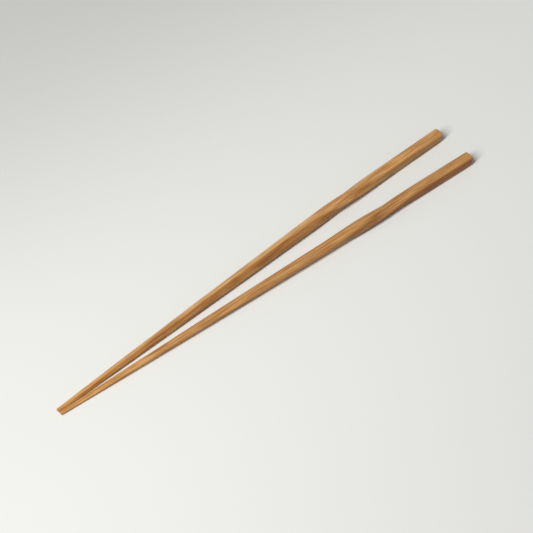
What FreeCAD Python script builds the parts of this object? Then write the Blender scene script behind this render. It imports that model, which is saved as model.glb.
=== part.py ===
import FreeCAD, Part
import math
import os

# A pair of slender chopsticks, lying on a table with their tips together.
# Each stick is one piece: a tapered square shank, a twist, and a plain square handle.
# Millimetres. +X runs from the handles to the tips, +Y to the left, +Z up.
# The origin is on the table, under the middle of the pair.

# Lengths along one stick, from the tip: shank, twist, handle
SHANK_LENGTH = 148.0
TWIST_LENGTH = 60.0
HANDLE_LENGTH = 32.0

# The section is a square with rounded corners all the way
HANDLE_SIDE = 5.4
HANDLE_CORNER = 1.35
TIP_SIDE = 1.6
TIP_CORNER = 0.38
# How much faster the shank widens beside the tip than a straight taper does
TAPER_EASE = 0.65

# The faces turn by this angle between the shank and the handle
TWIST_ANGLE = 115.0

# Both sticks have a slight bend in the twist: the handle leans down and inwards
BEND_FROM_SHANK = 23.0
BEND_LENGTH = 22.0
BEND_DOWN = 1.45
BEND_INWARD = 0.95

# Cut ends, with softly rounded rims
HANDLE_RIM = 0.6
TIP_RIM = 0.2

# How the pair lies
SPREAD_ANGLE = 5.0
TIP_CLEARANCE = 0.08

# Distance between the lofted sections in the twist, and how many the shank has
TWIST_STEP = 4.0
SHANK_SECTIONS = 10
# The loft runs on into the straight handle this far, so that it meets it smoothly
RUN_ON = 6.0

QUARTER_TURN = 90.0
TWIST_END = SHANK_LENGTH + TWIST_LENGTH
LENGTH = TWIST_END + HANDLE_LENGTH
BEND_AT = SHANK_LENGTH + BEND_FROM_SHANK

OUTWARD = FreeCAD.Vector(0, 1, 0)
UP = FreeCAD.Vector(0, 0, 1)


def thickness_share(distance):
    """Return 0 at the tip, rising to 1 at the bend, where the stick has its full thickness."""
    along = min(distance / BEND_AT, 1.0)
    return (1 + TAPER_EASE) * along / (1 + TAPER_EASE * along)


def side(distance):
    """Return the square's side at a distance from the tip."""
    return TIP_SIDE + (HANDLE_SIDE - TIP_SIDE) * thickness_share(distance)


def corner(distance):
    """Return the corner radius at a distance from the tip."""
    return TIP_CORNER + (HANDLE_CORNER - TIP_CORNER) * thickness_share(distance)


def roll(distance):
    """Return how far the section is turned, in degrees: 0 in the handle, whose faces are level."""
    along = (distance - SHANK_LENGTH) / TWIST_LENGTH
    along = min(max(along, 0.0), 1.0)
    eased = along * along * (3 - 2 * along)
    return -TWIST_ANGLE * (1 - eased)


def reach(distance, direction):
    """Return how far the rounded square reaches from its centre, in degrees from outward towards up."""
    lean = math.radians(direction - roll(distance))
    flat_half = side(distance) / 2 - corner(distance)
    return flat_half * (abs(math.cos(lean)) + abs(math.sin(lean))) + corner(distance)


def bend_offset(distance):
    """Return the sideways offset for each radian of bend: none, then a curve, then a straight line."""
    into_bend = distance - (BEND_AT - BEND_LENGTH / 2)
    if into_bend <= 0:
        return 0.0
    if into_bend < BEND_LENGTH:
        return into_bend ** 2 / (2 * BEND_LENGTH)
    return distance - BEND_AT


def bend_slope(distance):
    """Return the slope that goes with bend_offset."""
    into_bend = distance - (BEND_AT - BEND_LENGTH / 2)
    return min(max(into_bend / BEND_LENGTH, 0.0), 1.0)


def stations():
    """Return the distances from the tip at which the shank and the twist have a section."""
    shank = [SHANK_LENGTH * (i / SHANK_SECTIONS) for i in range(SHANK_SECTIONS)]
    steps = max(8, round(TWIST_LENGTH / TWIST_STEP))
    twist = [SHANK_LENGTH + TWIST_LENGTH * i / steps for i in range(steps + 1)]
    run_on = min(RUN_ON, HANDLE_LENGTH / 2)
    return shank + twist + [TWIST_END + run_on / 2, TWIST_END + run_on]


def balance_point():
    """Return the distance from the tip to the stick's centre of mass."""
    count = 100
    moment = 0.0
    total = 0.0
    for i in range(count):
        distance = LENGTH * (i + 0.5) / count
        area = side(distance) ** 2 - (4 - math.pi) * corner(distance) ** 2
        moment += area * distance
        total += area
    return moment / total


def underside(distance):
    """Return the height of the lowest point of a section, with the shank held level at zero."""
    return -math.radians(BEND_DOWN) * bend_offset(distance) - reach(distance, -QUARTER_TURN)


def rest_on_table():
    """Return the rise of the shank, and the tip's height, that put the stick's underside on the table.

    The stick touches in two places, one on each side of its centre of mass. Of all lines through two
    such places, the table is the one that is lowest under the centre of mass.
    """
    balance = balance_point()
    places = stations() + [LENGTH]
    lowest = None
    for first in [place for place in places if place < balance]:
        for second in [place for place in places if place > balance]:
            slope = (underside(second) - underside(first)) / (second - first)
            height = underside(first) + slope * (balance - first)
            if lowest is None or height < lowest:
                lowest = height
                contact = (slope, first)
    slope, first = contact
    return -slope, slope * first - underside(first)


RISE, TIP_HEIGHT = rest_on_table()


def centre(distance):
    """Return the middle of the section at a distance from the tip, for the left stick."""
    half_spread = math.radians(SPREAD_ANGLE / 2)
    tip_outward = reach(0, 0) + TIP_CLEARANCE / 2
    outward = math.tan(half_spread) * distance - math.radians(BEND_INWARD) * bend_offset(distance)
    up = RISE * distance - math.radians(BEND_DOWN) * bend_offset(distance)
    return FreeCAD.Vector(-distance * math.cos(half_spread), tip_outward + outward, TIP_HEIGHT + up)


def heading(distance):
    """Return the direction from the tip to the handle at a distance from the tip."""
    half_spread = math.radians(SPREAD_ANGLE / 2)
    outward = math.tan(half_spread) - math.radians(BEND_INWARD) * bend_slope(distance)
    up = RISE - math.radians(BEND_DOWN) * bend_slope(distance)
    return FreeCAD.Vector(-math.cos(half_spread), outward, up).normalize()


def section(distance):
    """Return the closed wire of the rounded square at a distance from the tip."""
    ahead = heading(distance)
    across = (OUTWARD - ahead * OUTWARD.dot(ahead)).normalize()
    above = (UP - ahead * UP.dot(ahead) - across * UP.dot(across)).normalize()
    middle = centre(distance)
    radius = corner(distance)
    flat_half = side(distance) / 2 - radius

    def point(along_normal, along_flat, turned):
        """Return a point of the section, from its place in a frame turned by an angle."""
        angle = math.radians(turned)
        outward = along_normal * math.cos(angle) - along_flat * math.sin(angle)
        up = along_normal * math.sin(angle) + along_flat * math.cos(angle)
        return middle + across * outward + above * up

    edges = []
    for face in range(4):
        turned = roll(distance) + QUARTER_TURN * face
        start = point(flat_half + radius, -flat_half, turned)
        end = point(flat_half + radius, flat_half, turned)
        over = flat_half + radius * math.sqrt(0.5)
        corner_middle = point(over, over, turned)
        next_start = point(flat_half + radius, -flat_half, turned + QUARTER_TURN)
        edges.append(Part.LineSegment(start, end).toShape())
        edges.append(Part.Arc(end, corner_middle, next_start).toShape())
    return Part.Wire(edges)


def rim_edges(solid, middle, ahead):
    """Return the edges that bound the cut end through a point, square to a direction."""
    near = 0.01
    return [
        edge for edge in solid.Edges
        if all(abs((vertex.Point - middle).dot(ahead)) < near for vertex in edge.Vertexes)
    ]


def build_stick():
    """Return the left stick, lying on the table."""
    places = stations()
    shank_and_twist = Part.makeLoft([section(distance) for distance in places], True, False)
    loft_end = places[-1]
    handle_way = centre(LENGTH) - centre(loft_end)
    handle = Part.Face(section(loft_end)).extrude(handle_way)
    stick = shank_and_twist.fuse(handle).removeSplitter().Solids[0]
    stick = stick.makeFillet(HANDLE_RIM, rim_edges(stick, centre(LENGTH), heading(LENGTH)))
    stick = stick.makeFillet(TIP_RIM, rim_edges(stick, centre(0), heading(0)))
    return stick


def main():
    """Build the pair, set its origin and write one file for each stick."""
    left = build_stick()
    box = left.optimalBoundingBox(False, False)
    left.translate(FreeCAD.Vector(-(box.XMin + box.XMax) / 2, 0, -box.ZMin))
    right = left.mirror(FreeCAD.Vector(0, 0, 0), OUTWARD)
    os.makedirs("parts", exist_ok=True)
    for name, stick in (("left_chopstick", left), ("right_chopstick", right)):
        stick.exportStep("parts/" + name + ".step")
        print(name, "valid", stick.isValid(), "volume", round(stick.Volume, 1), "mm3")
    print("rise of the shank", round(math.degrees(RISE), 3), "degrees")


main()
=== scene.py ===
"""Dress a pair of twisted bamboo chopsticks, which lie on a pale table with their tips together.

Each stick is modelled straight, from its butt to its tip, then bent and laid where the frame has it.
Lengths are metres and angles are degrees. Distances along a stick run from its tip.
"""

import logging
import math
from dataclasses import dataclass, field
from enum import Enum
from typing import Callable, Dict, List, Optional, Tuple, Union

import bmesh
import bpy
import numpy as np
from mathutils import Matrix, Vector


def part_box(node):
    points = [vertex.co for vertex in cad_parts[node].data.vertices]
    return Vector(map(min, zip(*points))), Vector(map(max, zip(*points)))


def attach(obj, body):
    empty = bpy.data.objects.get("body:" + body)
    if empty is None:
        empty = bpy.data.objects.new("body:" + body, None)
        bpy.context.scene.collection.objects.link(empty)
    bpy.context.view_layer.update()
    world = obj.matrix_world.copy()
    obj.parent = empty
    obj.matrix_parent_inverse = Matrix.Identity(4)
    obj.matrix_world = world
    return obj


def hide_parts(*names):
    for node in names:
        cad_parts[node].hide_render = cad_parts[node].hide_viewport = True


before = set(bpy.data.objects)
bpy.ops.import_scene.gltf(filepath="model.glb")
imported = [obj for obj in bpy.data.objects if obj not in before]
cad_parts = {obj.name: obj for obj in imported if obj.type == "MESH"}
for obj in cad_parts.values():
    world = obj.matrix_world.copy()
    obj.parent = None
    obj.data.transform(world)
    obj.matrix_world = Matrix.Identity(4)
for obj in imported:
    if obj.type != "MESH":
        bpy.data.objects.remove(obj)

LOG = logging.getLogger("chopsticks")

MM = 0.001
# With no window the rotate operator turns clockwise, so an angle is given to it with this sign
ROTATE_SIGN = -1.0

# The attributes that a stick's material reads: each point's place in the straight stick, its place there
# without the twist, and how far it lies round a corner
BLANK = "blank"
SECTION = "section"
CORNER = "corner"

Colour = Tuple[float, float, float]
Number = Union[float, "Signal"]


class Hand(Enum):
    """Which stick of the pair: the sign of Y on its side of the middle line."""

    LEFT = 1
    RIGHT = -1


class Ease(Enum):
    """How a number rises between two limits."""

    LINEAR = "LINEAR"
    SMOOTH = "SMOOTHSTEP"


def smoothstep(share: np.ndarray) -> np.ndarray:
    """Return shares, held between 0 and 1, eased at both ends."""
    held = np.clip(share, 0.0, 1.0)
    return held * held * (3 - 2 * held)


def select_only(piece: bpy.types.Object) -> None:
    """Select a piece and nothing else, and make it active.

    Args:
        piece: The piece that the next object-mode steps act on.
    """
    bpy.ops.object.select_all(action="DESELECT")
    piece.select_set(True)
    bpy.context.view_layer.objects.active = piece


def point_places(mesh: bpy.types.Mesh) -> np.ndarray:
    """Read the places of a mesh's points.

    Args:
        mesh: The mesh.

    Returns:
        One row for each point.
    """
    places = np.empty(len(mesh.vertices) * 3, np.float32)
    mesh.vertices.foreach_get("co", places)
    return places.reshape(-1, 3)


def keep_on_points(mesh: bpy.types.Mesh, name: str, values: np.ndarray) -> None:
    """Add an attribute to a mesh.

    Args:
        mesh: The mesh.
        name: The attribute's name.
        values: A number or a vector for each point.
    """
    kind, part = ("FLOAT", "value") if values.ndim == 1 else ("FLOAT_VECTOR", "vector")
    attribute = mesh.attributes.new(name, kind, "POINT")
    attribute.data.foreach_set(part, values.astype(np.float32).ravel())


class Signal:
    """A number that changes over a surface. Operators on it add Math nodes."""

    def __init__(self, sheet: "NodeSheet", socket: bpy.types.NodeSocket) -> None:
        """Wrap the output socket that carries the number."""
        self.sheet = sheet
        self.socket = socket

    def _math(self, operation: str, first: Number, second: Number) -> "Signal":
        """Return the result of one Math node."""
        node = self.sheet.add("ShaderNodeMath", {"operation": operation}, {0: first, 1: second})
        return Signal(self.sheet, node.outputs[0])

    def __add__(self, other: Number) -> "Signal":
        """Return self + other."""
        return self._math("ADD", self, other)

    def __radd__(self, other: Number) -> "Signal":
        """Return other + self."""
        return self._math("ADD", other, self)

    def __sub__(self, other: Number) -> "Signal":
        """Return self - other."""
        return self._math("SUBTRACT", self, other)

    def __rsub__(self, other: Number) -> "Signal":
        """Return other - self."""
        return self._math("SUBTRACT", other, self)

    def __mul__(self, other: Number) -> "Signal":
        """Return self * other."""
        return self._math("MULTIPLY", self, other)

    def __rmul__(self, other: Number) -> "Signal":
        """Return other * self."""
        return self._math("MULTIPLY", other, self)

    def __neg__(self) -> "Signal":
        """Return -self."""
        return self._math("MULTIPLY", self, -1.0)

    def __abs__(self) -> "Signal":
        """Return the number without its sign."""
        return self._math("ABSOLUTE", self, 0.0)

    def rise(self, low: float, high: float, ease: Ease = Ease.SMOOTH) -> "Signal":
        """Return how far the number has come from one limit to the other.

        Args:
            low: Where the result is 0.
            high: Where the result is 1. It may be the lower of the two.
            ease: How the result rises in between.

        Returns:
            A number from 0 to 1.
        """
        if low > high:
            return 1.0 - self.rise(high, low, ease)
        settings = {"interpolation_type": ease.value}
        values = {"Value": self, "From Min": low, "From Max": high}
        return Signal(self.sheet, self.sheet.add("ShaderNodeMapRange", settings, values).outputs[0])


class NodeSheet:
    """The nodes of one material or of the world."""

    MIX_FACTOR, MIX_FIRST, MIX_SECOND, MIX_RESULT = 0, 6, 7, 2

    def __init__(self, owner: Union[bpy.types.Material, bpy.types.World]) -> None:
        """Switch the owner's nodes on and clear them.

        Args:
            owner: The material or the world that the nodes belong to.
        """
        owner.use_nodes = True
        self.tree = owner.node_tree
        self.tree.nodes.clear()

    def add(
        self, kind: str, settings: Optional[Dict] = None, values: Optional[Dict] = None
    ) -> bpy.types.Node:
        """Add a node.

        Args:
            kind: The node's type.
            settings: Its own settings, which are set first.
            values: A value, a socket or a Signal for each named or numbered input.

        Returns:
            The new node.
        """
        node = self.tree.nodes.new(kind)
        for name, setting in (settings or {}).items():
            setattr(node, name, setting)
        for key, value in (values or {}).items():
            self.feed(node.inputs[key], value)
        return node

    def feed(self, target: bpy.types.NodeSocket, value: object) -> None:
        """Link something to an input, or set the input's value.

        Args:
            target: The input.
            value: A Signal or a socket, which is linked, or a plain value, which is set.
        """
        if isinstance(value, Signal):
            value = value.socket
        if isinstance(value, bpy.types.NodeSocket):
            self.tree.links.new(value, target)
        elif isinstance(value, tuple) and len(value) == 3 and target.type == "RGBA":
            target.default_value = (*value, 1.0)
        else:
            target.default_value = value

    def blend(
        self, factor: Number, first: object, second: object, way: str = "MIX"
    ) -> bpy.types.NodeSocket:
        """Mix two colours.

        Args:
            factor: How much of the second colour shows, from 0 to 1.
            first: A colour, or a socket that carries one.
            second: The other colour.
            way: The blend type.

        Returns:
            The socket with the mixed colour.
        """
        settings = {"data_type": "RGBA", "blend_type": way}
        values = {self.MIX_FACTOR: factor, self.MIX_FIRST: first, self.MIX_SECOND: second}
        return self.add("ShaderNodeMix", settings, values).outputs[self.MIX_RESULT]

    def parts(self, vector: bpy.types.NodeSocket) -> Tuple["Signal", "Signal", "Signal"]:
        """Return the three numbers of a vector."""
        node = self.add("ShaderNodeSeparateXYZ", None, {0: vector})
        return tuple(Signal(self, output) for output in node.outputs)

    def attribute(self, name: str, output: str) -> bpy.types.NodeSocket:
        """Return one output of a node that reads an attribute of the mesh."""
        return self.add("ShaderNodeAttribute", {"attribute_name": name}).outputs[output]

    def close_material(self, values: Dict) -> None:
        """Add the shader, with a value or link for each input that is named, and the output."""
        shader = self.add("ShaderNodeBsdfPrincipled", None, values)
        self.add("ShaderNodeOutputMaterial", None, {"Surface": shader.outputs[0]})


@dataclass(frozen=True)
class StickShape:
    """The sizes of one stick, which both sticks of the pair share."""

    shank_length: float = 148 * MM
    twist_length: float = 60 * MM
    handle_length: float = 32 * MM
    handle_side: float = 5.4 * MM
    tip_side: float = 1.6 * MM
    corner_share: float = 0.25
    taper_ease: float = 0.65
    twist_angle: float = 115.0
    bend_from_shank: float = 23 * MM
    bend_length: float = 22 * MM
    bend_down: float = 1.45
    bend_inward: float = 0.95
    handle_rim: float = 0.6 * MM
    butt_lean: float = 11.0
    tip_rim: float = 0.2 * MM
    rise_angle: float = 0.786
    spread_angle: float = 5.0

    @property
    def twist_end(self) -> float:
        """Return where the twist ends and the plain handle begins."""
        return self.shank_length + self.twist_length

    @property
    def length(self) -> float:
        """Return the whole length."""
        return self.twist_end + self.handle_length

    @property
    def bend_at(self) -> float:
        """Return the middle of the bend."""
        return self.shank_length + self.bend_from_shank

    def side(self, distance: Union[float, np.ndarray]) -> Union[float, np.ndarray]:
        """Find the side of the square section.

        Args:
            distance: One or more distances from the tip.

        Returns:
            The side at each of them. It is the handle's from the bend onwards.
        """
        along = np.minimum(distance / self.bend_at, 1.0)
        share = (1 + self.taper_ease) * along / (1 + self.taper_ease * along)
        return self.tip_side + (self.handle_side - self.tip_side) * share

    def roll(self, distance: Union[float, np.ndarray]) -> Union[float, np.ndarray]:
        """Return how far the section is turned, from outward towards up: nothing in the handle."""
        return -self.twist_angle * (1 - smoothstep((distance - self.shank_length) / self.twist_length))


class Workbench:
    """Edit-mode steps on one mesh. What a step acts on is chosen in code first."""

    def __init__(self, piece: bpy.types.Object) -> None:
        """Take the piece that the steps shape."""
        self.piece = piece

    def __enter__(self) -> "Workbench":
        """Open the piece in edit mode, with nothing chosen.

        Returns:
            The workbench itself.
        """
        select_only(self.piece)
        bpy.ops.object.mode_set(mode="EDIT")
        bpy.ops.mesh.select_all(action="DESELECT")
        return self

    def __exit__(self, *problem: object) -> None:
        """Close edit mode."""
        bpy.ops.object.mode_set(mode="OBJECT")

    def _choose(self, mode: str, group: str, wanted: Callable[[object], bool]) -> None:
        """Select elements of one kind, and nothing else.

        Args:
            mode: The select mode for that kind.
            group: The name of the mesh's list of them.
            wanted: Tells whether an element is selected.
        """
        bpy.ops.mesh.select_mode(type=mode)
        bpy.ops.mesh.select_all(action="DESELECT")
        shell = bmesh.from_edit_mesh(self.piece.data)
        for element in getattr(shell, group):
            if wanted(element):
                element.select_set(True)
        shell.select_flush_mode()
        bmesh.update_edit_mesh(self.piece.data)

    def choose_faces(self, wanted: Callable[[Vector], bool]) -> None:
        """Select the faces whose normal is wanted, and nothing else."""
        self._choose("FACE", "faces", lambda face: wanted(face.normal))

    def choose_edges(self, wanted: Callable[[Vector, Vector], bool]) -> None:
        """Select the edges whose two ends are wanted, and nothing else."""
        self._choose("EDGE", "edges", lambda edge: wanted(edge.verts[0].co, edge.verts[1].co))

    def choose_points(self, wanted: Callable[[Vector], bool]) -> None:
        """Select the points whose place is wanted, and nothing else."""
        self._choose("VERT", "verts", lambda point: wanted(point.co))

    def extrude(self, along: float) -> None:
        """Extrude the chosen end face along X."""
        bpy.ops.mesh.extrude_region_move(TRANSFORM_OT_translate={"value": (along, 0, 0)})

    def resize(self, share: float, at: float) -> None:
        """Scale what is chosen across the stick, about a place on X."""
        bpy.ops.transform.resize(value=(1, share, share), center_override=(at, 0, 0))

    def turn(self, angle: float, axis: str, at: float = 0.0) -> None:
        """Turn what is chosen about an axis through a place on X."""
        signed = ROTATE_SIGN * math.radians(angle)
        bpy.ops.transform.rotate(value=signed, orient_axis=axis, center_override=(at, 0, 0))


@dataclass(frozen=True)
class Unevenness:
    """Low relief that a blade and the wood's own fibres leave in the surface.

    Its hills are stretched along the stick: hill is their size as (along, across).
    """

    name: str
    hill: Tuple[float, float]
    depth: float
    detail: int

    def carve(self, piece: bpy.types.Object, start: Vector) -> None:
        """Cut the relief into a piece that lies straight along X.

        Its hills rise as high above the surface as its hollows lie deep.

        Args:
            piece: The stick.
            start: Where the pattern starts, so that two sticks differ.
        """
        bpy.ops.object.empty_add(type="PLAIN_AXES", location=start)
        ruler = bpy.context.object
        ruler.scale = (self.hill[0], self.hill[1], self.hill[1])
        clouds = bpy.data.textures.new(self.name, "CLOUDS")
        clouds.noise_scale = 1.0
        clouds.noise_depth = self.detail
        select_only(piece)
        bpy.ops.object.modifier_add(type="DISPLACE")
        relief = piece.modifiers[-1]
        relief.texture = clouds
        relief.texture_coords = "OBJECT"
        relief.texture_coords_object = ruler
        relief.direction = "NORMAL"
        relief.strength = self.depth
        relief.mid_level = 0.5
        bpy.ops.object.modifier_apply(modifier=relief.name)
        bpy.data.objects.remove(ruler)
        bpy.data.textures.remove(clouds)


@dataclass(frozen=True)
class Patch:
    """A tint in one place, from a whole side to a thin streak. Some patches are wood of another tint; others
    are painted shade and painted highlight on the sides and in the twist. It keeps the wood's figure.

    It lies between two distances from the tip, on the side that has the given direction in the handle, in
    degrees from +Y towards +Z. It follows that side through the twist.
    """

    # Where a patch begins, just past the line to the next side, and where it is full, just inside its own
    SIDE_FADE = (-0.15 * MM, 0.2 * MM)
    # The share of its width over which the patch has its full tint
    FULL_SHARE = 0.3

    tint: Colour
    start: float
    end: float
    direction: float
    width: float
    fade: float = 6 * MM

    def cover(self, section: Tuple[Signal, Signal, Signal]) -> Signal:
        """Find how much of this tint shows.

        Args:
            section: The place in the straight stick without its twist.

        Returns:
            A number from 0 to 1.
        """
        along, y, z = section
        angle = math.radians(self.direction)
        facing = y * math.cos(angle) + z * math.sin(angle)
        sideways = abs(z * math.cos(angle) - y * math.sin(angle))
        on_side = (facing - sideways).rise(*self.SIDE_FADE)
        distance = -along
        begun = distance.rise(self.start - self.fade, self.start + self.fade)
        left = distance.rise(self.end + self.fade, self.end - self.fade)
        return sideways.rise(self.width, self.width * self.FULL_SHARE) * on_side * begun * left


@dataclass(frozen=True)
class Marks:
    """A pattern whose marks are longer along the stick than across it.

    The tone share says how strongly they make the wood paler and darker.
    """

    along: float
    across: float
    detail: float = 0.0
    tone_share: float = 0.0


@dataclass(frozen=True)
class BambooFinish:
    """Planed, toasted bamboo with a satin surface. Its patterns read the attributes that a stick carries.

    The fibres run straight along the stick, also where the faces twist.
    """

    NOISE_MIDDLE = 0.5
    NOISE_ROUGHNESS = 0.55
    # The tone that shows the body colour, between deep at 0 and pale at 1
    BODY_TONE = 0.5
    # Where a vessel bundle begins and is full, from the middle of its cell
    BUNDLE_EDGE = (0.42, 0.08)
    BUNDLE_STRENGTH = 0.16
    # Where the tip's own tint begins and is full, its strength, and how much the glow varies it
    TIP_FADE = (80 * MM, 10 * MM)
    TIP_STRENGTH = 0.88
    TIP_GLOW = 0.7
    # How strongly the corners are toasted, and how much the grain varies it
    EDGE_STRENGTH = 0.32
    EDGE_GRAIN = 1.6
    # How far from each end the darker cut wood begins and is full, and its strength
    TIP_CUT = (0.4 * MM, 0.05 * MM)
    BUTT_CUT = (0.5 * MM, 0.1 * MM)
    CUT_STRENGTH = 0.35
    # What the grain and the bundles add to the roughness, and what the handled corners lose
    GRAIN_ROUGHNESS = 0.3
    BUNDLE_ROUGHNESS = 0.08
    CORNER_POLISH = 0.05
    # Heights of the finest relief, in metres
    GRAIN_HEIGHT = 24e-6
    HAIR_HEIGHT = 14e-6
    BUNDLE_DEPTH = 8e-6

    name: str
    pale: Colour
    body: Colour
    deep: Colour
    fibre: Colour
    edge: Colour
    tip_tint: Colour
    start: Vector
    patches: Tuple[Patch, ...] = ()
    roughness: float = 0.50
    specular: float = 0.32
    figure: Marks = Marks(80 * MM, 2.4 * MM, detail=2.0, tone_share=0.6)
    grain: Marks = Marks(50 * MM, 0.90 * MM, detail=2.0, tone_share=0.8)
    hair: Marks = Marks(22 * MM, 0.40 * MM, detail=2.0, tone_share=4.3)
    glow: Marks = Marks(10 * MM, 4.0 * MM, detail=1.0, tone_share=1.1)
    bundle: Marks = Marks(16 * MM, 0.62 * MM)

    def _stretched(
        self, sheet: NodeSheet, place: bpy.types.NodeSocket, marks: Marks
    ) -> bpy.types.NodeSocket:
        """Measure the place on the stick in a pattern's own size.

        Args:
            sheet: The material's nodes.
            place: The place in the straight stick.
            marks: The pattern.

        Returns:
            The socket with the place, as a count of marks along and across.
        """
        scale = (1 / marks.along, 1 / marks.across, 1 / marks.across)
        values = {"Vector": place, "Location": tuple(self.start), "Scale": scale}
        return sheet.add("ShaderNodeMapping", {"vector_type": "POINT"}, values).outputs[0]

    def _noise(self, sheet: NodeSheet, place: bpy.types.NodeSocket, marks: Marks) -> Signal:
        """Make the noise of one pattern.

        Args:
            sheet: The material's nodes.
            place: The place in the straight stick.
            marks: The pattern.

        Returns:
            The noise, around 0.
        """
        values = {
            "Vector": self._stretched(sheet, place, marks),
            "Scale": 1.0,
            "Detail": marks.detail,
            "Roughness": self.NOISE_ROUGHNESS,
        }
        return Signal(sheet, sheet.add("ShaderNodeTexNoise", None, values).outputs[0]) - self.NOISE_MIDDLE

    def _bundles(self, sheet: NodeSheet, place: bpy.types.NodeSocket) -> Signal:
        """Make the vessel bundles: thin dark dashes along the stick, and dots on its cut ends.

        Args:
            sheet: The material's nodes.
            place: The place in the straight stick.

        Returns:
            A number from 0 between the bundles to 1 inside them.
        """
        values = {"Vector": self._stretched(sheet, place, self.bundle), "Scale": 1.0}
        cells = sheet.add("ShaderNodeTexVoronoi", {"feature": "F1"}, values)
        return Signal(sheet, cells.outputs["Distance"]).rise(*self.BUNDLE_EDGE)

    def _cut_ends(self, distance: Signal, above: Signal, shape: StickShape) -> Signal:
        """Find the two cut ends. The butt's end leans and the tip's is square.

        Args:
            distance: The distance from the tip.
            above: The height above the stick's middle, without the twist.
            shape: The sizes of the stick.

        Returns:
            1 on the cut ends and 0 elsewhere.
        """
        below_top = shape.handle_side / 2 - above
        leaning = distance + below_top * math.tan(math.radians(shape.butt_lean))
        begun, full = self.BUTT_CUT
        return distance.rise(*self.TIP_CUT) + leaning.rise(shape.length - begun, shape.length - full)

    def material(self, shape: StickShape) -> bpy.types.Material:
        """Make the material.

        Args:
            shape: The sizes of the stick that wears it.

        Returns:
            The new material.
        """
        made = bpy.data.materials.new(self.name)
        sheet = NodeSheet(made)
        place = sheet.attribute(BLANK, "Vector")
        section = sheet.parts(sheet.attribute(SECTION, "Vector"))
        corner = Signal(sheet, sheet.attribute(CORNER, "Fac"))
        distance = -section[0]

        patterns = (self.figure, self.grain, self.hair, self.glow)
        noises = [self._noise(sheet, place, marks) for marks in patterns]
        _, grain, hair, glow = noises
        bundles = self._bundles(sheet, place)

        tone = self.BODY_TONE
        for marks, noise in zip(patterns, noises):
            tone = tone + marks.tone_share * noise
        colour = sheet.blend(tone.rise(0.0, self.BODY_TONE, Ease.LINEAR), self.deep, self.body)
        colour = sheet.blend(tone.rise(self.BODY_TONE, 1.0, Ease.LINEAR), colour, self.pale)
        near_tip = distance.rise(*self.TIP_FADE) * (self.TIP_STRENGTH + self.TIP_GLOW * glow)
        colour = sheet.blend(near_tip, colour, self.tip_tint, "MULTIPLY")
        # Patches multiply the colour: some tint the wood, others are painted shade and painted highlight on
        # the sides and in the twist
        for patch in self.patches:
            colour = sheet.blend(patch.cover(section), colour, patch.tint, "MULTIPLY")
        colour = sheet.blend(bundles * self.BUNDLE_STRENGTH, colour, self.fibre)
        toasted = (self.EDGE_STRENGTH + self.EDGE_GRAIN * grain).rise(0.0, 1.0, Ease.LINEAR)
        colour = sheet.blend(corner * toasted, colour, self.edge)
        cut = self._cut_ends(distance, section[2], shape)
        colour = sheet.blend(cut * self.CUT_STRENGTH, colour, self.fibre)

        rougher = self.GRAIN_ROUGHNESS * grain + self.BUNDLE_ROUGHNESS * bundles
        height = grain * self.GRAIN_HEIGHT + hair * self.HAIR_HEIGHT - bundles * self.BUNDLE_DEPTH
        bump = sheet.add("ShaderNodeBump", None, {"Strength": 1.0, "Distance": 1.0, "Height": height})
        sheet.close_material({
            "Base Color": colour,
            "Roughness": self.roughness + rougher - self.CORNER_POLISH * corner,
            "Normal": bump.outputs[0],
            "Specular IOR Level": self.specular,
        })
        return made


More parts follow.
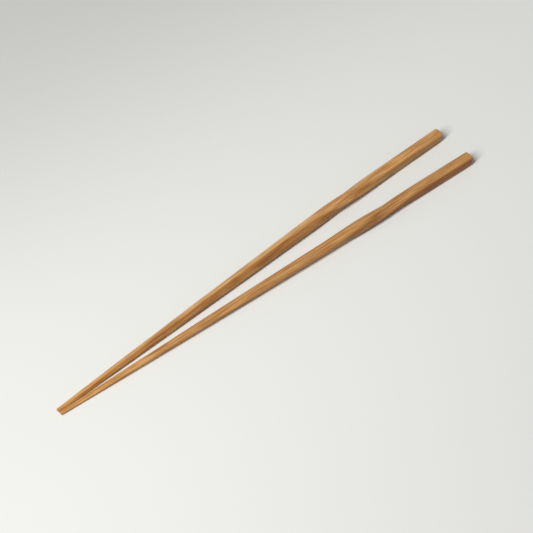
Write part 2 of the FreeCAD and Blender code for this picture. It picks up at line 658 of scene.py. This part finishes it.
@dataclass
class Chopstick:
    """One stick of the pair, one piece of bamboo."""

    # From this share a length counts as whole, and a normal as pointing along X
    NEARLY = 0.9
    # From this share a normal belongs to the flat end alone, and not to its rounded rim
    EXACTLY = 0.999
    # The rim's points lie up to its radius from the end, so they are looked for a little further
    RIM_REACH = 1.05
    # How far round a corner its tint is full
    CORNER_FULL = 0.7

    hand: Hand
    node: str
    slot: str
    finish: BambooFinish
    shape: StickShape = field(default_factory=StickShape)
    corner_cuts: int = 4
    flat_columns: int = 8
    handle_step: float = 4 * MM
    twist_step: float = 3 * MM
    shank_step: float = 4 * MM
    end_rings: Tuple[float, ...] = (0.8, 0.75, 0.66, 0.5)
    rim_cuts: int = 3
    smoothing: int = 2
    bend_steps: int = 8
    reliefs: Tuple[Unevenness, ...] = (
        Unevenness("blade_waves", hill=(26 * MM, 5 * MM), depth=0.08 * MM, detail=1),
        Unevenness("fibre_ridges", hill=(45 * MM, 0.55 * MM), depth=0.03 * MM, detail=2),
    )

    def stations(self) -> List[float]:
        """Choose where the rough stick has a section.

        Returns:
            The distances from the tip, from the butt's to the tip's own.
        """
        shape = self.shape
        stretches = (
            (0.0, shape.shank_length, self.shank_step),
            (shape.shank_length, shape.twist_end, self.twist_step),
            (shape.twist_end, shape.length, self.handle_step),
        )
        places = [0.0]
        for start, end, step in stretches:
            count = max(1, round((end - start) / step))
            places += [start + (end - start) * (i + 1) / count for i in range(count)]
        return places[::-1]

    def rough_out(self) -> bpy.types.Object:
        """Model the stick coarsely and straight along X, with its tip at the origin.

        Returns:
            The new piece, for the left hand.
        """
        shape = self.shape
        places = self.stations()
        first, second = places[0], places[1]
        bpy.ops.mesh.primitive_cube_add(size=1, location=(-(first + second) / 2, 0, 0))
        piece = bpy.context.object
        piece.scale = (first - second, shape.handle_side, shape.handle_side)
        bpy.ops.object.transform_apply(location=True, rotation=True, scale=True)
        corner = shape.handle_side * shape.corner_share
        least_flat = (shape.handle_side - 2 * corner) * self.NEARLY
        half_step = (first - second) / 2
        with Workbench(piece) as bench:
            bench.choose_edges(lambda a, b: abs(a.x - b.x) > half_step)
            bpy.ops.mesh.bevel(offset=corner, segments=self.corner_cuts, affect="EDGES")
            bench.choose_edges(lambda a, b: abs(a.x - b.x) < half_step and (a - b).length > least_flat)
            bpy.ops.mesh.subdivide(number_cuts=self.flat_columns - 1)
            bench.choose_faces(lambda normal: normal.x > self.NEARLY)
            for before, place in zip(places[1:], places[2:]):
                bench.extrude(before - place)
                bench.resize(shape.side(place) / shape.side(before), -place)
                bench.turn(float(shape.roll(place) - shape.roll(before)), "X", -place)
            self.round_end(bench, 1.0, shape.tip_rim)
            self.round_end(bench, -1.0, shape.handle_rim)
            self.lean_butt(bench)
        return piece

    def round_end(self, bench: Workbench, outward: float, rim: float) -> None:
        """Round the rim of one cut end, and divide the end into rings.

        Args:
            bench: The workbench that holds the stick.
            outward: The sign of X in which the end faces.
            rim: The radius of the rim.
        """
        bench.choose_faces(lambda normal: normal.x * outward > self.NEARLY)
        bpy.ops.mesh.bevel(offset=rim, segments=self.rim_cuts, affect="EDGES")
        bench.choose_faces(lambda normal: normal.x * outward > self.EXACTLY)
        for share in self.end_rings:
            bench.extrude(0.0)
            bench.resize(share, 0.0)
        bpy.ops.mesh.merge(type="COLLAPSE")

    def lean_butt(self, bench: Workbench) -> None:
        """Lean the butt's cut end: its upper edge stays, and its lower edge moves towards the tip.

        Args:
            bench: The workbench that holds the stick.
        """
        shape = self.shape
        lean = math.radians(shape.butt_lean)
        rim_end = shape.handle_rim * self.RIM_REACH - shape.length
        bench.choose_points(lambda point: point.x < rim_end)
        bench.turn(-shape.butt_lean, "Y", -shape.length)
        bpy.ops.transform.resize(value=(1, 1, 1 / math.cos(lean)), center_override=(0, 0, 0))
        bpy.ops.transform.translate(value=(shape.handle_side / 2 * math.sin(lean), 0, 0))

    def refine(self, piece: bpy.types.Object) -> None:
        """Smooth the rough stick and cut the blade's and the fibres' relief into it.

        Args:
            piece: The rough stick.
        """
        select_only(piece)
        bpy.ops.object.modifier_add(type="SUBSURF")
        smooth = piece.modifiers[-1]
        smooth.levels = self.smoothing
        smooth.render_levels = self.smoothing
        bpy.ops.object.modifier_apply(modifier=smooth.name)
        self.record_blank(piece.data)
        for relief in self.reliefs:
            relief.carve(piece, self.finish.start)
        bpy.ops.object.shade_smooth()

    def record_blank(self, mesh: bpy.types.Mesh) -> None:
        """Keep on each point what the material reads, while the stick is still straight.

        Args:
            mesh: The straight stick's mesh.
        """
        points = point_places(mesh)
        distance = -points[:, 0].astype(float)
        half = self.shape.side(distance) / 2
        turned = np.radians(self.shape.roll(distance))
        outward = points[:, 1] * self.hand.value
        across = outward * np.cos(turned) + points[:, 2] * np.sin(turned)
        above = points[:, 2] * np.cos(turned) - outward * np.sin(turned)
        flat_half = half * (1 - 2 * self.shape.corner_share)
        into_corner = (np.minimum(abs(across), abs(above)) - flat_half) / (half - flat_half)
        keep_on_points(mesh, BLANK, points)
        keep_on_points(mesh, SECTION, np.stack((points[:, 0], across * self.hand.value, above), 1))
        keep_on_points(mesh, CORNER, smoothstep(into_corner / self.CORNER_FULL))

    def lay(self, piece: bpy.types.Object) -> None:
        """Bend the straight stick, turn it as it lies, and move it to where the frame has its node.

        Args:
            piece: The straight stick.
        """
        shape = self.shape
        sign = self.hand.value
        step = shape.bend_length / self.bend_steps
        with Workbench(piece) as bench:
            for i in reversed(range(self.bend_steps)):
                place = shape.bend_at - shape.bend_length / 2 + (i + 0.5) * step
                bench.choose_points(lambda point: point.x < -place)
                bench.turn(-shape.bend_down / self.bend_steps, "Y", -place)
                bench.turn(sign * shape.bend_inward / self.bend_steps, "Z", -place)
            bpy.ops.mesh.select_all(action="SELECT")
            bench.turn(shape.rise_angle, "Y")
            bench.turn(-sign * shape.spread_angle / 2, "Z")
        low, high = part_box(self.node)
        points = point_places(piece.data)
        own_low, own_high = points.min(0), points.max(0)
        middle = (low.y + high.y) / 2 - (own_low[1] + own_high[1]) / 2
        with Workbench(piece):
            bpy.ops.mesh.select_all(action="SELECT")
            shift = (high.x - own_high[0], middle, low.z - own_low[2])
            bpy.ops.transform.translate(value=shift)

    def dress(self, piece: bpy.types.Object) -> None:
        """Give the stick its name and its material, hide the frame's part that it stands for, and attach it
        to the root body.

        Args:
            piece: The finished stick.
        """
        piece.name = self.node.replace("chopstick", "stick")
        piece.data.name = piece.name
        piece.data.materials.clear()
        piece.data.materials.append(self.finish.material(self.shape))
        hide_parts(self.node)
        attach(piece, "root")
        LOG.info("%s: %d faces, stands for %s", piece.name, len(piece.data.polygons), self.node)


@dataclass
class ChopstickPair:
    """Both sticks. The rough stick is modelled once and copied for the other hand."""

    left: Chopstick
    right: Chopstick

    def copy_mirrored(self, piece: bpy.types.Object) -> bpy.types.Object:
        """Copy a piece with its own mesh, mirrored across the middle line.

        Args:
            piece: The piece to copy.

        Returns:
            The mirrored copy, with its faces pointing outwards.
        """
        select_only(piece)
        bpy.ops.object.duplicate(linked=False)
        copy = bpy.context.object
        with Workbench(copy):
            bpy.ops.mesh.select_all(action="SELECT")
            bpy.ops.transform.resize(value=(1, -1, 1), center_override=(0, 0, 0))
            bpy.ops.mesh.normals_make_consistent(inside=False)
        return copy

    def build(self) -> List[bpy.types.Object]:
        """Model, lay and dress both sticks.

        Returns:
            The two pieces.
        """
        rough = self.left.rough_out()
        pieces = [rough, self.copy_mirrored(rough)]
        for stick, piece in zip((self.left, self.right), pieces):
            stick.refine(piece)
            stick.lay(piece)
            stick.dress(piece)
        return pieces


def seen_directly(sheet: NodeSheet) -> Signal:
    """Tell what is seen from what only gives light.

    Args:
        sheet: The nodes of the material or the world.

    Returns:
        1 for what the camera sees, also in a gloss or through glass, and 0 for the rest.
    """
    path = sheet.add("ShaderNodeLightPath")
    seen = Signal(sheet, path.outputs["Is Camera Ray"])
    for ray in ("Is Glossy Ray", "Is Transmission Ray"):
        seen = seen + Signal(sheet, path.outputs[ray])
    return seen.rise(0.0, 1.0, Ease.LINEAR)


@dataclass(frozen=True)
class TableTop:
    """The pale surface under the pair. It is part of the studio, not of the object.

    Each fade is where a painted shade begins and is full: towards -Y and towards +Y, where the light falls
    off across the table, and on both sides of the lamp in X, which paints the table darker beneath the lamp.
    """

    SHADE_FADE = (0.03, 0.23)
    NEAR_FADE = (0.02, 0.22)
    LAMP_FADE = (0.1, 0.7)
    PAST_LAMP_FADE = (1.95, 1.45)

    width: float = 4.0
    roughness: float = 0.85
    pale: Colour = (0.82, 0.826, 0.792)
    shade: Colour = (0.615, 0.613, 0.595)
    # Painted shade towards +Y
    near: Colour = (0.745, 0.742, 0.725)
    bounce: Colour = (0.65, 0.65, 0.65)
    # Painted shade on the table beneath the lamp
    under_lamp: Colour = (0.53, 0.53, 0.53)

    def build(self) -> bpy.types.Object:
        """Make the surface.

        Returns:
            The plane, with its top at the height that the pair stands on.
        """
        bpy.ops.mesh.primitive_plane_add(size=self.width, location=(0, 0, 0))
        plane = bpy.context.object
        plane.name = "table_top"
        made = bpy.data.materials.new("table_top")
        sheet = NodeSheet(made)
        x, y, _ = sheet.parts(sheet.add("ShaderNodeTexCoord").outputs["Object"])
        # Painted shade: the table made darker towards -Y and +Y and beneath the lamp
        colour = sheet.blend((-y).rise(*self.SHADE_FADE), self.pale, self.shade)
        colour = sheet.blend(y.rise(*self.NEAR_FADE), colour, self.near)
        near_lamp = x.rise(*self.LAMP_FADE) * x.rise(*self.PAST_LAMP_FADE)
        colour = sheet.blend(near_lamp, colour, self.under_lamp, "MULTIPLY")
        bounced = sheet.blend(1.0, colour, self.bounce, "MULTIPLY")
        sheet.close_material({
            "Base Color": sheet.blend(seen_directly(sheet), bounced, colour),
            "Roughness": self.roughness,
        })
        plane.data.materials.append(made)
        return plane


@dataclass(frozen=True)
class SoftLamp:
    """A rectangular lamp that faces the pair."""

    name: str
    place: Vector
    width: float
    height: float
    power: float

    def build(self) -> bpy.types.Object:
        """Hang the lamp.

        Returns:
            The lamp.
        """
        bpy.ops.object.light_add(type="AREA", location=self.place)
        lamp = bpy.context.object
        lamp.name = self.name
        lamp.data.shape = "RECTANGLE"
        lamp.data.size = self.width
        lamp.data.size_y = self.height
        lamp.data.energy = self.power
        lamp.rotation_euler = (-self.place).to_track_quat("-Z", "Y").to_euler()
        return lamp


@dataclass(frozen=True)
class Room:
    """The even light around the table, and the pale backdrop that the camera sees beyond it."""

    light: Colour = (1.0, 1.0, 1.0)
    strength: float = 0.22
    backdrop: Colour = (0.84, 0.84, 0.82)

    def build(self) -> bpy.types.World:
        """Make the world.

        Returns:
            The scene's new world.
        """
        world = bpy.data.worlds.new("room")
        bpy.context.scene.world = world
        sheet = NodeSheet(world)
        light = sheet.add("ShaderNodeBackground", None, {"Color": self.light, "Strength": self.strength})
        backdrop = sheet.add("ShaderNodeBackground", None, {"Color": self.backdrop, "Strength": 1.0})
        values = {0: seen_directly(sheet), 1: light.outputs[0], 2: backdrop.outputs[0]}
        mixed = sheet.add("ShaderNodeMixShader", None, values)
        sheet.add("ShaderNodeOutputWorld", None, {"Surface": mixed.outputs[0]})
        return world


@dataclass(frozen=True)
class Viewpoint:
    """The camera, which looks down at a place on the table from the tips' side."""

    target: Vector = Vector((-4.48 * MM, -3.98 * MM, 0.0))
    azimuth: float = 138.36
    elevation: float = 48.53
    distance: float = 1.27
    seen_width: float = 243.2 * MM
    sensor_width: float = 36.0
    nearest: float = 0.05
    farthest: float = 20.0

    def build(self) -> bpy.types.Object:
        """Set up the camera.

        Returns:
            The scene's camera.
        """
        turn, tilt = math.radians(self.azimuth), math.radians(self.elevation)
        back = Vector((math.sin(turn) * math.cos(tilt), -math.cos(turn) * math.cos(tilt), math.sin(tilt)))
        bpy.ops.object.camera_add(location=self.target + back * self.distance)
        camera = bpy.context.object
        camera.name = "viewpoint"
        camera.rotation_euler = (-back).to_track_quat("-Z", "Y").to_euler()
        camera.data.sensor_width = self.sensor_width
        camera.data.lens = camera.data.sensor_width * self.distance / self.seen_width
        camera.data.clip_start = self.nearest
        camera.data.clip_end = self.farthest
        bpy.context.scene.camera = camera
        return camera


# Directions of a handle's four sides, a width that covers a whole side, and an end beyond the butt
LEFTWARD, UPWARD, RIGHTWARD, DOWNWARD = 0.0, 90.0, 180.0, -90.0
WHOLE_SIDE = 4.0 * MM
PAST_BUTT = 260 * MM

HONEY = BambooFinish(
    name="honey_bamboo",
    pale=(0.59, 0.315, 0.113),
    body=(0.47, 0.23, 0.074),
    deep=(0.345, 0.15, 0.041),
    fibre=(0.27, 0.11, 0.035),
    edge=(0.46, 0.18, 0.035),
    tip_tint=(1.38, 1.42, 1.36),
    start=Vector((3.7, 1.9, 8.3)),
    patches=(
        # Painted shade on the handle's side towards +Y, over wood that is also darker there
        Patch((0.64, 0.47, 0.38), 165 * MM, PAST_BUTT, LEFTWARD, WHOLE_SIDE, fade=15 * MM),
        # The next two are painted shade and painted highlight on two faces in the twist, which make its
        # turning faces contrast more
        Patch((0.84, 0.81, 0.79), 158 * MM, 188 * MM, UPWARD, WHOLE_SIDE, fade=9 * MM),
        Patch((1.08, 1.10, 1.08), 155 * MM, 190 * MM, RIGHTWARD, WHOLE_SIDE, fade=9 * MM),
        Patch((0.93, 0.92, 0.92), 110 * MM, 162 * MM, RIGHTWARD, WHOLE_SIDE, fade=15 * MM),
        Patch((0.88, 0.85, 0.81), 42 * MM, 62 * MM, RIGHTWARD, WHOLE_SIDE, fade=10 * MM),
        Patch((1.10, 1.12, 1.10), 88 * MM, 104 * MM, RIGHTWARD, WHOLE_SIDE, fade=10 * MM),
        Patch((0.94, 0.78, 0.60), 62 * MM, 80 * MM, -135.0, 0.5 * MM),
        Patch((0.94, 0.76, 0.56), 116 * MM, 168 * MM, -135.0, 0.7 * MM),
    ),
)
PALE_HONEY = BambooFinish(
    name="pale_honey_bamboo",
    pale=(0.70, 0.40, 0.155),
    body=(0.56, 0.28, 0.093),
    deep=(0.41, 0.175, 0.048),
    fibre=(0.28, 0.12, 0.04),
    edge=(0.48, 0.20, 0.04),
    tip_tint=(1.22, 1.26, 1.20),
    start=Vector((11.3, 6.1, 2.7)),
    patches=(
        # Painted sheen: the shank's upper face made paler and greyer
        Patch((1.12, 1.23, 1.35), 50 * MM, 150 * MM, LEFTWARD, WHOLE_SIDE, fade=30 * MM),
        # Painted shade on the shank's lower face, which also makes it redder
        Patch((0.86, 0.80, 0.74), 20 * MM, 175 * MM, DOWNWARD, WHOLE_SIDE, fade=15 * MM),
        # Painted shade on the corner between the shank's upper and lower faces
        Patch((0.80, 0.72, 0.66), 28 * MM, 165 * MM, -45.0, 0.8 * MM, fade=15 * MM),
        Patch((1.12, 1.15, 1.16), 205 * MM, 224 * MM, UPWARD, 2.6 * MM),
        # The next two are painted shade in the twist, darker bands where its faces turn
        Patch((0.84, 0.80, 0.78), 167 * MM, 184 * MM, 26.0, 1.2 * MM),
        Patch((0.87, 0.84, 0.82), 140 * MM, 172 * MM, -30.0, 1.0 * MM, fade=8 * MM),
        # Painted highlight along the handle's rounded corner between its top and its side towards +Y
        Patch((1.18, 1.22, 1.25), 195 * MM, PAST_BUTT, 45.0, 1.1 * MM, fade=15 * MM),
        # Painted shade on the handle's side towards +Y
        Patch((0.88, 0.90, 0.93), 190 * MM, PAST_BUTT, LEFTWARD, WHOLE_SIDE, fade=15 * MM),
        # The next two are painted shade and painted highlight on the ridge near the end of the twist
        Patch((0.84, 0.79, 0.74), 184 * MM, 198 * MM, 30.0, 1.2 * MM, fade=8 * MM),
        Patch((1.08, 1.12, 1.14), 188 * MM, 202 * MM, 64.0, 0.9 * MM),
        Patch((0.90, 0.76, 0.58), 12 * MM, 25 * MM, DOWNWARD, 1.0 * MM),
        Patch((0.90, 0.76, 0.58), 79 * MM, 84 * MM, -45.0, 0.5 * MM, fade=3 * MM),
        Patch((0.90, 0.76, 0.58), 114 * MM, 119 * MM, -45.0, 0.6 * MM, fade=3 * MM),
        Patch((0.84, 0.68, 0.50), 134 * MM, 141 * MM, -45.0, 0.7 * MM, fade=3 * MM),
    ),
)
HIGH_WINDOW = SoftLamp(
    name="high_window",
    place=Vector((1.18, 0.22, 1.28)),
    width=0.4,
    height=1.3,
    power=34.0,
)


def main() -> None:
    """Build the pair and its studio, and report each piece."""
    logging.basicConfig(level=logging.INFO, format="%(name)s: %(message)s")
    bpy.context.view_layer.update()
    pair = ChopstickPair(
        left=Chopstick(Hand.LEFT, "left_chopstick", "left_wood", HONEY),
        right=Chopstick(Hand.RIGHT, "right_chopstick", "right_wood", PALE_HONEY),
    )
    pair.build()
    TableTop().build()
    HIGH_WINDOW.build()
    Room().build()
    Viewpoint().build()
    bpy.context.scene.view_settings.view_transform = "Standard"


if __name__ == "__main__":
    main()
